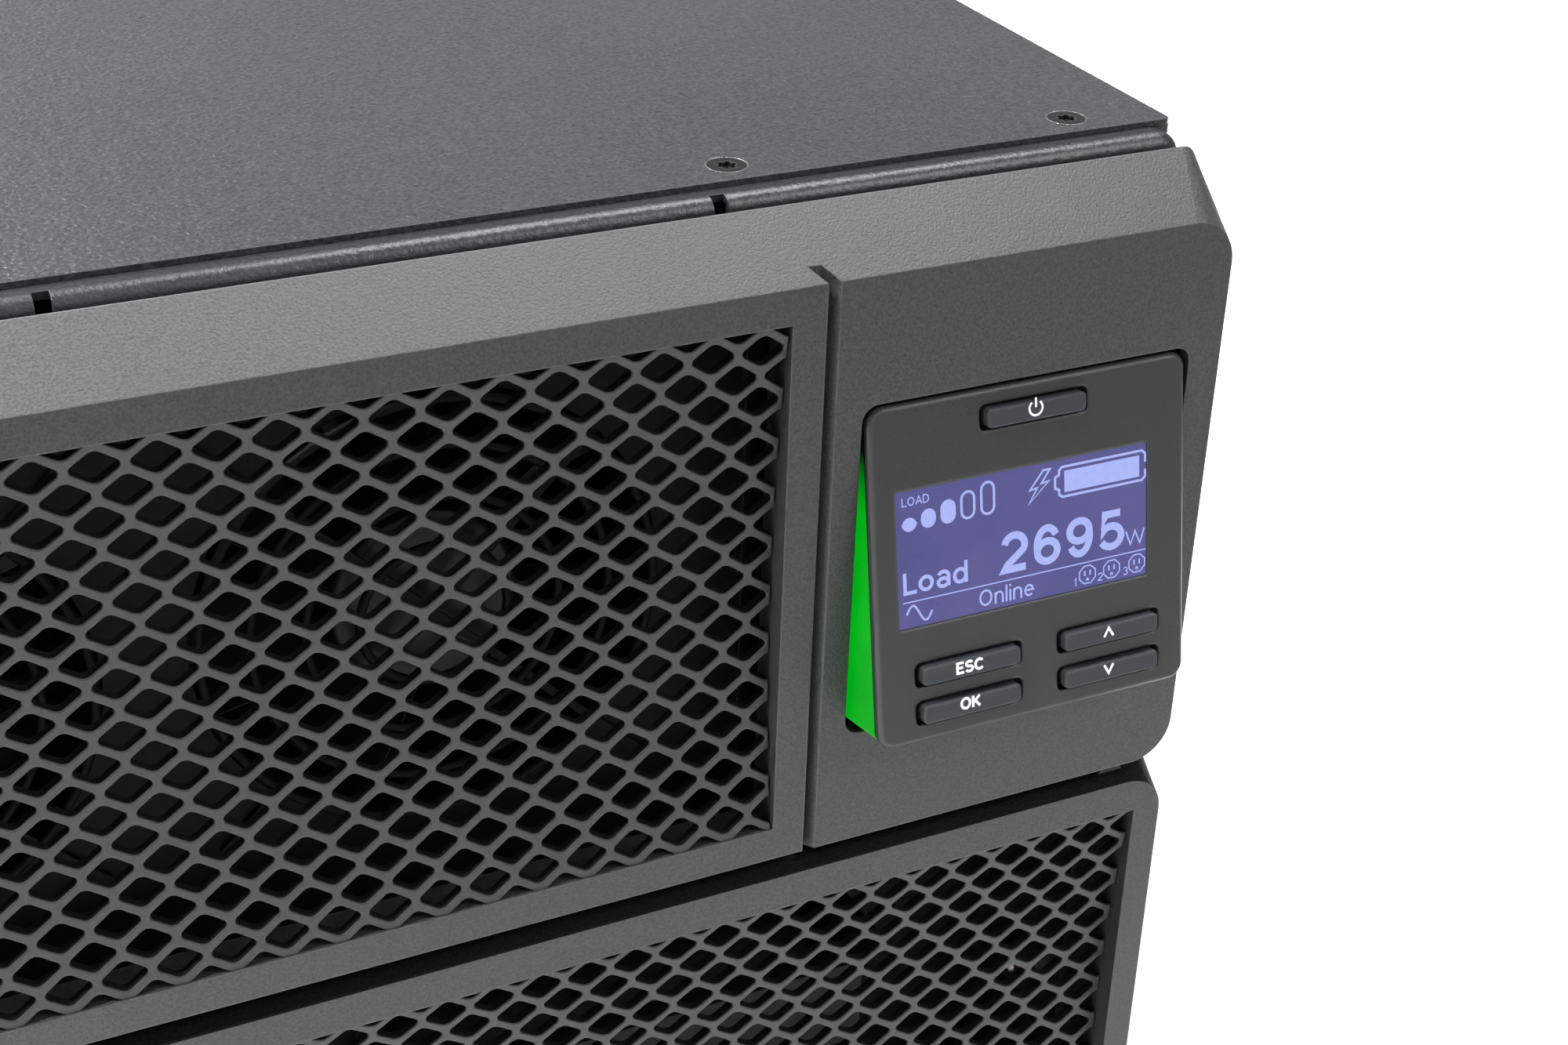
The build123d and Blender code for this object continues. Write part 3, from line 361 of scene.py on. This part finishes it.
BY_SLOT = {"cover_coat": "cover", "chassis_coat": "chassis", "frame_coat": "frame", "plated_steel": "zinc",
           "black_screw": "screw", "bright_screw": "bright", "bezel_plastic": "bezel", "grille_plastic": "grille",
           "fascia_plastic": "fascia", "housing_plastic": "green", "screen": "lcd", "key_rubber": "key",
           "black_plastic": "black", "board": "board", "heatsink": "alu", "capacitor_sleeve": "sleeve",
           "copper_winding": "copper", "core_steel": "core", "battery_case": "battery", "charger_case": "alu",
           "earth_brass": "brass"}
SLOT_OF = {s["node"]: s["material_slot"] for s in frame["record"]["subparts"]}
for node, ob in NODES.items():
    key = BY_SLOT[SLOT_OF[node]]
    if node.startswith(("fan_rotor", "fan_frame")):
        key = "fan"
    if node == "lower_bezel":
        key = "bezel_low"
    # Painted shade: the fan bracket, fan guards, battery trays and divider are made near black so the inside of the
    # case reads dark.
    if node.startswith(("fan_bracket", "fan_guards", "battery_tray", "bay_divider")):
        key = "dark"
    for ms in ob.material_slots:
        ms.material = M[key]
    if not ob.material_slots:
        ob.data.materials.append(M[key])


def new_object(name, bm_or_mesh, mat, body):
    if isinstance(bm_or_mesh, bmesh.types.BMesh):
        me = bpy.data.meshes.new(name)
        bm_or_mesh.to_mesh(me)
        bm_or_mesh.free()
    else:
        me = bm_or_mesh
    ob = bpy.data.objects.new(name, me)
    bpy.context.scene.collection.objects.link(ob)
    me.materials.clear()
    me.materials.append(mat)
    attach(ob, body)
    return ob


# ------------------------------------------------------------------ grilles
PITCH, ROW = 9.67, 5.24              # staggered lattice of the mesh, mm


def rounded_hole():
    """Quarter by quarter outline of one hole: a wide rhombus with its tips rounded."""
    a, b, ra, rb = 4.69, 3.35, 0.95, 1.70
    k = math.hypot(a, b)
    n = (b / k, a / k)                                  # outward normal of the upper right edge
    cx = a - ra / n[0]                                  # centre of the right tip's arc
    cz = b - rb / n[1]                                  # centre of the top tip's arc
    ang = math.atan2(n[1], n[0])
    pts = []
    for t in (0.5, 1.0):
        pts.append((cx + ra * math.cos(ang * t), ra * math.sin(ang * t)))
    for t in (0.0, 0.35, 0.7):
        th = ang + (math.pi / 2 - ang) * t
        pts.append((rb * math.cos(th), cz + rb * math.sin(th)))
    right_tip, top_tip = (cx + ra, 0.0), (0.0, cz + rb)
    q1 = [right_tip] + pts
    q2 = [top_tip] + [(-x, z) for x, z in reversed(pts)]
    q3 = [(-right_tip[0], 0.0)] + [(-x, -z) for x, z in pts]
    q4 = [(0.0, -top_tip[1])] + [(x, -z) for x, z in reversed(pts)]
    return q1 + q2 + q3 + q4


def cell_outline(hole):
    """Points on the border of the six sided cell around a hole, one for each point of the hole."""
    hx, hz = PITCH / 2, ROW
    c = (hx * hx + hz * hz) / 2
    top = c / hz
    side = (c - hx * hx) / hz
    corners = [(hx, side), (0.0, top), (-hx, side), (-hx, -side), (0.0, -top), (hx, -side)]
    out = []
    for x, z in hole:
        d = math.hypot(x, z)
        ux, uz = x / d, z / d
        t = min(hx / abs(ux) if abs(ux) > 1e-9 else 1e9,
                c / (hx * abs(ux) + hz * abs(uz)))
        out.append((ux * t, uz * t))
    for cx, cz in corners:                              # the nearest border point moves to each corner
        i = min(range(len(out)), key=lambda j: (out[j][0] - cx) ** 2 + (out[j][1] - cz) ** 2)
        out[i] = (cx, cz)
    return out


def grille(name, node, body, g, first_row, odd, even):
    x0, x1, z0, z1 = g
    zm, half = (z0 + z1) / 2, (z1 - z0) / 2
    sag = 3.9
    rad = (half * half + sag * sag) / (2 * sag)

    def depth(z):
        return YF + 4.3 - (rad - math.sqrt(max(rad * rad - (z - zm) ** 2, 0.0)))

    hole = rounded_hole()
    cell = cell_outline(hole)
    n = len(hole)
    shrink = []
    for x, z in hole:                                   # the mouth of each hole is a little wider than its throat
        d = math.hypot(x, z)
        shrink.append((x * (1 + 0.24 / d), z * (1 + 0.24 / d)))
    bm = bmesh.new()
    row = 0
    z = z1 + first_row
    while z > z0 - 4.5:
        off = odd if row % 2 else even
        x = x1 - off + PITCH
        while x > x0 - PITCH:
            if x < x1 + 4.6:
                rings = []
                for pts, dy in ((cell, 0.0), (shrink, 0.0), (hole, 0.26), (hole, 2.3), (cell, 2.3)):
                    rings.append([bm.verts.new(((x + px) * MM, (depth(z + pz) + dy) * MM, (z + pz) * MM))
                                  for px, pz in pts])
                for a, b in zip(rings, rings[1:]):
                    for i in range(n):
                        j = (i + 1) % n
                        bm.faces.new((a[i], a[j], b[j], b[i]))
            x -= PITCH
        z -= ROW
        row += 1
    bmesh.ops.remove_doubles(bm, verts=bm.verts, dist=0.000004)
    for co, no in (((0, 0, z1 * MM), (0, 0, 1)), ((0, 0, z0 * MM), (0, 0, -1)),
                   (((x1 - 0.5) * MM, 0, 0), (1, 0, 0)), (((x0 + 0.5) * MM, 0, 0), (-1, 0, 0))):
        cut = bmesh.ops.bisect_plane(bm, geom=bm.verts[:] + bm.edges[:] + bm.faces[:], dist=0.000001,
                                     plane_co=co, plane_no=no, clear_outer=True)
        rim = [e for e in cut["geom_cut"] if isinstance(e, bmesh.types.BMEdge)]
        bmesh.ops.holes_fill(bm, edges=rim, sides=0)
    bmesh.ops.recalc_face_normals(bm, faces=bm.faces)
    ob = new_object(name, bm, M["grille"], body)
    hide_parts(node)
    return ob


grille("upper_mesh", "upper_grille", "upper_front", (-209.2, 121.9, 135.6, 243.9), 0.86, 5.10, 0.27)
grille("lower_mesh", "lower_grille", "lower_front", (-209.4, 209.4, 8.0, 115.4), 1.49, 0.80, 5.63)

# ------------------------------------------------------------------ display graphics and legends
TILT = math.radians(10.8)
S, C = math.sin(TILT), math.cos(TILT)
ON_DISPLAY = Matrix(((1, 0, 0, 0.1728), (0, S, -C, YF * MM), (0, C, S, 0.2236), (0, 0, 0, 1)))


def at(u, v, w):
    return ON_DISPLAY @ Vector((u * MM, -v * MM, w * MM))


def oval(cx, cy, rx, ry, a0, a1, n=14):
    return [(cx + rx * math.cos(math.radians(a0 + (a1 - a0) * i / n)),
             cy + ry * math.sin(math.radians(a0 + (a1 - a0) * i / n))) for i in range(n + 1)]


# Plain stroke letters and figures: advance width, then centre lines, for capitals of height 1.
GLYPHS = {
    "1": (0.62, [[(0.12, 0.72), (0.33, 0.92), (0.33, 0.02)]]),
    "2": (0.83, [oval(0.345, 0.66, 0.255, 0.26, 168, -30) + [(0.36, 0.36), (0.16, 0.20), (0.09, 0.08), (0.62, 0.08)]]),
    "3": (0.70, [oval(0.33, 0.71, 0.24, 0.21, 155, -80) + oval(0.33, 0.28, 0.27, 0.22, 85, -160)]),
    "5": (0.83, [[(0.58, 0.92), (0.18, 0.92), (0.12, 0.49)] + oval(0.335, 0.345, 0.268, 0.265, 140, -155)]),
    "6": (0.83, [oval(0.345, 0.335, 0.255, 0.255, 0, 360, 20),
                 [(0.09, 0.335)] + oval(0.345, 0.49, 0.262, 0.43, 180, 32)]),
    "9": (0.83, [oval(0.345, 0.665, 0.255, 0.255, 0, 360, 20),
                 [(0.60, 0.665)] + oval(0.345, 0.51, 0.262, 0.43, 0, -148)]),
    "L": (0.70, [[(0.09, 0.98), (0.09, 0.07), (0.62, 0.07)]]),
    "O": (0.94, [oval(0.42, 0.5, 0.35, 0.43, 0, 360, 20)]),
    "A": (0.82, [[(0.05, 0.02), (0.39, 0.95), (0.73, 0.02)], [(0.18, 0.34), (0.60, 0.34)]]),
    "D": (0.84, [[(0.09, 0.93), (0.09, 0.07), (0.36, 0.07)] + oval(0.36, 0.50, 0.34, 0.43, -80, 80) + [(0.09, 0.93)]]),
    "W": (0.95, [[(0.02, 0.96), (0.23, 0.06), (0.45, 0.90), (0.67, 0.06), (0.88, 0.96)]]),
    "E": (0.74, [[(0.63, 0.92), (0.10, 0.92), (0.10, 0.08), (0.65, 0.08)], [(0.10, 0.51), (0.58, 0.51)]]),
    "S": (0.78, [oval(0.36, 0.71, 0.25, 0.21, 22, 255) + oval(0.36, 0.29, 0.28, 0.22, 78, -158)]),
    "C": (0.86, [oval(0.43, 0.5, 0.34, 0.42, 42, 318, 18)]),
    "K": (0.78, [[(0.10, 0.99), (0.10, 0.01)], [(0.66, 0.95), (0.12, 0.40)], [(0.28, 0.56), (0.68, 0.03)]]),
    "a": (0.76, [oval(0.34, 0.48, 0.24, 0.22, 155, 0) + [(0.58, 0.02)], oval(0.33, 0.22, 0.23, 0.18, 0, 360, 16)]),
    "d": (0.80, [oval(0.35, 0.36, 0.26, 0.29, 0, 360, 18), [(0.62, 1.0), (0.62, 0.0)]]),
    "e": (0.72, [[(0.10, 0.38), (0.60, 0.38)] + oval(0.35, 0.36, 0.25, 0.30, 4, 315)]),
    "i": (0.24, [[(0.09, 0.0), (0.09, 0.68)], [(0.09, 0.86), (0.09, 0.98)]]),
    "l": (0.24, [[(0.09, 0.0), (0.09, 1.0)]]),
    "n": (0.70, [[(0.09, 0.0), (0.09, 0.68)], [(0.09, 0.40)] + oval(0.32, 0.42, 0.23, 0.25, 165, 0) + [(0.55, 0.0)]]),
    "o": (0.80, [oval(0.35, 0.36, 0.27, 0.29, 0, 360, 18)]),
}


class Print:
    """Flat printed or lit shapes on the display, gathered into one thin mesh. u runs across, v down, in mm."""

    def __init__(self, w, thick=0.03):
        self.bm = bmesh.new()
        self.w, self.t = w, thick

    def poly(self, pts):
        top = [self.bm.verts.new(at(u, v, self.w + self.t)) for u, v in pts]
        bot = [self.bm.verts.new(at(u, v, self.w)) for u, v in pts]
        self.bm.faces.new(top)
        k = len(pts)
        for i in range(k):
            j = (i + 1) % k
            self.bm.faces.new((top[i], bot[i], bot[j], top[j]))

    def line(self, pts, width, closed=False):
        k = len(pts)
        left, rite = [], []
        for i in range(k):
            p = pts[i]
            a = pts[i - 1] if (i or closed) else None
            b = pts[(i + 1) % k] if (i < k - 1 or closed) else None
            d1 = (Vector(p) - Vector(a)).normalized() if a is not None else None
            d2_ = (Vector(b) - Vector(p)).normalized() if b is not None else None
            if d1 is None:
                d1 = d2_
            if d2_ is None:
                d2_ = d1
            n1, n2 = Vector((-d1.y, d1.x)), Vector((-d2_.y, d2_.x))
            m = (n1 + n2)
            m = m.normalized() if m.length > 1e-6 else n1
            m = m * (width / 2 / max(m.dot(n1), 0.45))
            left.append((p[0] + m.x, p[1] + m.y))
            rite.append((p[0] - m.x, p[1] - m.y))
        for i in range(k if closed else k - 1):
            j = (i + 1) % k
            self.poly([left[i], left[j], rite[j], rite[i]])

    def text(self, word, cap, u, v, stroke, sx=1.0, centre=False):
        """word drawn in strokes, capitals cap mm high; u, v is the left end of its baseline, or its middle."""
        if centre:
            u -= (sum(GLYPHS[ch][0] for ch in word) - 0.12) * cap * sx / 2
        for ch in word:
            adv, paths = GLYPHS[ch]
            for pts in paths:
                closed = len(pts) > 2 and math.dist(pts[0], pts[-1]) < 1e-6
                line = [(u + x * cap * sx, v - y * cap) for x, y in (pts[:-1] if closed else pts)]
                self.line(line, stroke, closed)
            u += adv * cap * sx

    def done(self, name, mat, body):
        bmesh.ops.recalc_face_normals(self.bm, faces=self.bm.faces)
        return new_object(name, self.bm, mat, body)


def arc(cu, cv, r, a0, a1, n):
    return [(cu + r * math.cos(math.radians(a0 + (a1 - a0) * i / n)),
             cv - r * math.sin(math.radians(a0 + (a1 - a0) * i / n))) for i in range(n + 1)]


def pill(u0, u1, v0, v1, n=8):
    r = (u1 - u0) / 2
    cu = (u0 + u1) / 2
    return arc(cu, v0 + r, r, 0, 180, n) + arc(cu, v1 - r, r, 180, 360, n)


def U(px):
    return -29.3 + (px - 130) / 942 * 56.2


def V(py):
    return 16.3 + (py - 330) / 475 * 27.8


ink = Print(-0.30)
ink.text("LOAD", 1.75, U(144), V(379), 0.22, 1.05)
for i, (a, b, top) in enumerate(((143, 197, 418), (212, 266, 400), (283, 338, 383), (355, 410, 366), (428, 483, 348))):
    if i < 3:
        ink.poly(pill(U(a), U(b), V(top), V(465)))
    else:
        ink.line(pill(U(a) + 0.25, U(b) - 0.25, V(top) + 0.25, V(465) - 0.25, 7), 0.50, True)
# mains symbol, battery and its charge
ink.line([(U(663), V(352)), (U(612), V(412)), (U(640), V(408)), (U(608), V(458)), (U(684), V(392)), (U(655), V(396)),
          (U(688), V(352))], 0.42, True)
bat = [(U(1053), V(396)), (U(1053), V(366)), (U(1040), V(354)), (U(734), V(354)), (U(722), V(364)), (U(722), V(380)),
       (U(707), V(386)), (U(707), V(424)), (U(722), V(431)), (U(722), V(447)), (U(734), V(457)), (U(1040), V(457)),
       (U(1053), V(445)), (U(1053), V(420))]
ink.line(bat, 0.50)
ink.poly([(U(742), V(369)), (U(1030), V(369)), (U(1030), V(443)), (U(742), V(443))])
ink.text("2695", 8.05, U(500), V(680), 1.50, 1.10)
ink.text("W", 3.15, U(976), V(680), 0.36, 1.58)
ink.text("Load", 4.45, U(140), V(678), 0.74, 1.07)
ink.text("Online", 3.45, U(416), V(778), 0.42, 1.02)
ink.poly([(U(138), V(703)), (U(1056), V(703)), (U(1056), V(707)), (U(138), V(707))])
wave = [(U(150 + 93 * i / 16), V(748 - 29 * math.sin(2 * math.pi * i / 16))) for i in range(17)]
ink.line(wave, 0.42)
for px, num in ((827, "1"), (921, "2"), (1020, "3")):
    cu, cv = U(px), V(749)
    ink.line([(cu + 2.0 * math.cos(math.radians(a)), cv + 1.95 * math.sin(math.radians(a)))
              for a in (22.5, 67.5, 112.5, 157.5, 202.5, 247.5, 292.5, 337.5)], 0.26, True)
    for du in (-0.62, 0.62):
        ink.poly([(cu + du - 0.17, cv - 0.85), (cu + du + 0.17, cv - 0.85), (cu + du + 0.17, cv + 0.20),
                  (cu + du - 0.17, cv + 0.20)])
    ink.poly([(cu - 0.34, cv + 1.25), (cu - 0.34, cv + 0.85), (cu, cv + 0.60), (cu + 0.34, cv + 0.85), (cu + 0.34, cv + 1.25)])
    ink.text(num, 1.75, cu - 3.25, cv + 1.95, 0.22)
ob = ink.done("lcd_graphics", M["ink"], "display")

KEYS = {"power": (0.0, 4.1), "esc": (-15.73, 53.2), "ok": (-15.8, 60.75), "up": (16.0, 53.2), "down": (15.95, 60.9)}
for key, (u, v) in KEYS.items():
    p = Print(1.5, 0.02)
    if key == "power":
        p.line(arc(u, v + 0.2, 1.44, 128, 412, 24), 0.42)
        p.poly([(u - 0.21, v - 1.85), (u + 0.21, v - 1.85), (u + 0.21, v + 0.05), (u - 0.21, v + 0.05)])
    elif key in ("esc", "ok"):
        p.text(key.upper(), 2.40, u, v + 1.20, 0.54, 1.10, True)
    else:
        k = -1 if key == "up" else 1
        p.line([(u - 1.05, v - k * 0.85), (u, v + k * 0.95), (u + 1.05, v - k * 0.85)], 0.50)
    p.done(key + "_legend", M["legend"], key + "_key")

# ------------------------------------------------------------------ bare metal rims of the countersinks
bm = bmesh.new()
spots = ([(x, YF + 30.8) for x in (-195.66, -122.95, 122.95, 195.66)]
         + [(x, y) for x in (-208.0, 208.0) for y in (-150.0, 30.0, 210.0)] + [(x, 336.0) for x in (-150.0, 0.0, 150.0)])
for sx_, sy_ in spots:
    prof = ((3.86, -0.10), (3.87, 0.01), (3.94, 0.03), (4.01, 0.01), (4.03, -0.02), (3.94, -0.06))
    rings = [[bm.verts.new(((sx_ + r * math.cos(2 * math.pi * i / 40)) * MM, (sy_ + r * math.sin(2 * math.pi * i / 40)) * MM,
                            (HT + z) * MM)) for i in range(40)] for r, z in prof]
    for a, b in zip(rings, rings[1:] + rings[:1]):
        for i in range(40):
            j = (i + 1) % 40
            bm.faces.new((a[i], a[j], b[j], b[i]))
bmesh.ops.recalc_face_normals(bm, faces=bm.faces)
ob = new_object("countersink_rims", bm, M["rim"], "chassis")

# ------------------------------------------------------------------ floor, world and lights
bm = bmesh.new()
vs = [bm.verts.new(p) for p in ((-9, -7, -0.0004), (9, -7, -0.0004), (9, 11, -0.0004), (-9, 11, -0.0004))]
bm.faces.new(vs)
me = bpy.data.meshes.new("floor")
bm.to_mesh(me)
bm.free()
floor = bpy.data.objects.new("floor", me)
bpy.context.scene.collection.objects.link(floor)
q = Mat("studio_floor")
q.link(q.mix(q.ramp(q.noise(3.0, 3.0), 0.3, 0.7), (0.76, 0.76, 0.76), (0.79, 0.79, 0.79)), q.b.inputs["Base Color"])
q.b.inputs["Roughness"].default_value = 0.8
me.materials.append(q.m)

# Soft studio: a dim room, brighter low down behind the unit and straight overhead.
world = bpy.data.worlds.new("studio")
bpy.context.scene.world = world
world.use_nodes = True
wt = world.node_tree
wc = wt.nodes.new("ShaderNodeTexCoord")
wx = wt.nodes.new("ShaderNodeSeparateXYZ")
wt.links.new(wc.outputs["Generated"], wx.inputs[0])


def wmath(op, a, b=0.0):
    n = wt.nodes.new("ShaderNodeMath")
    n.operation = op
    for i, v in enumerate((a, b)):
        if isinstance(v, (int, float)):
            n.inputs[i].default_value = v
        else:
            wt.links.new(v, n.inputs[i])
    return n.outputs[0]


def wramp(v, lo, hi, gain):
    n = wt.nodes.new("ShaderNodeMapRange")
    n.interpolation_type = "SMOOTHSTEP"
    n.inputs["From Min"].default_value = lo
    n.inputs["From Max"].default_value = hi
    n.inputs["To Max"].default_value = gain
    wt.links.new(v, n.inputs["Value"])
    return n.outputs["Result"]


AMBIENT, BACK_LOW, BACK_MID, FRONT = 0.05, 0.72, 0.0, 0.42
low_part = wmath("SUBTRACT", 1.0, wramp(wx.outputs["Z"], 0.10, 0.45, 1.0))
mid_part = wmath("SUBTRACT", wramp(wx.outputs["Z"], 0.10, 0.45, 1.0), wramp(wx.outputs["Z"], 0.45, 0.80, 1.0))
back = wramp(wx.outputs["Y"], 0.0, 0.6, 1.0)
front = wramp(wx.outputs["Y"], 0.0, -0.6, 1.0)
total = wmath("ADD", AMBIENT, wmath("MULTIPLY", wmath("MULTIPLY", back, low_part), BACK_LOW))
total = wmath("ADD", total, wmath("MULTIPLY", wmath("MULTIPLY", back, mid_part), BACK_MID))
total = wmath("ADD", total, wmath("MULTIPLY", front, FRONT))
wb = wt.nodes["Background"]
wb.inputs[0].default_value = (1.0, 1.0, 1.0, 1.0)
wt.links.new(total, wb.inputs[1])
bpy.context.scene.view_settings.view_transform = "Standard"


def area(name, loc, target, size, power, size_y=None, spread=180.0):
    li = bpy.data.lights.new(name, "AREA")
    li.shape = "RECTANGLE"
    li.size = size
    li.size_y = size_y or size
    li.energy = power
    li.spread = math.radians(spread)
    ob = bpy.data.objects.new(name, li)
    bpy.context.scene.collection.objects.link(ob)
    ob.location = loc
    d = Vector(target) - Vector(loc)
    ob.rotation_euler = d.to_track_quat("-Z", "Y").to_euler()
    return ob


OVER_LEFT, SWEEP, TOP_BACK, FRONT_RIGHT = 15.0, 41.0, 9.0, 3.2
area("over_left", (-0.85, -0.19, 1.45), (-0.44, -0.10, 0.26), 0.7, OVER_LEFT, 0.32, 50.0)
area("sweep", (1.25, 0.55, 1.6), (1.05, 0.55, 0.0), 1.6, SWEEP, 1.8, 80.0)
area("top_back", (-0.60, 0.9, 1.6), (-0.40, 0.0, 0.25), 0.8, TOP_BACK, 0.8, 70.0)
area("front_right", (0.95, -1.2, 1.15), (0.22, -0.35, 0.15), 0.7, FRONT_RIGHT, 0.7, 100.0)
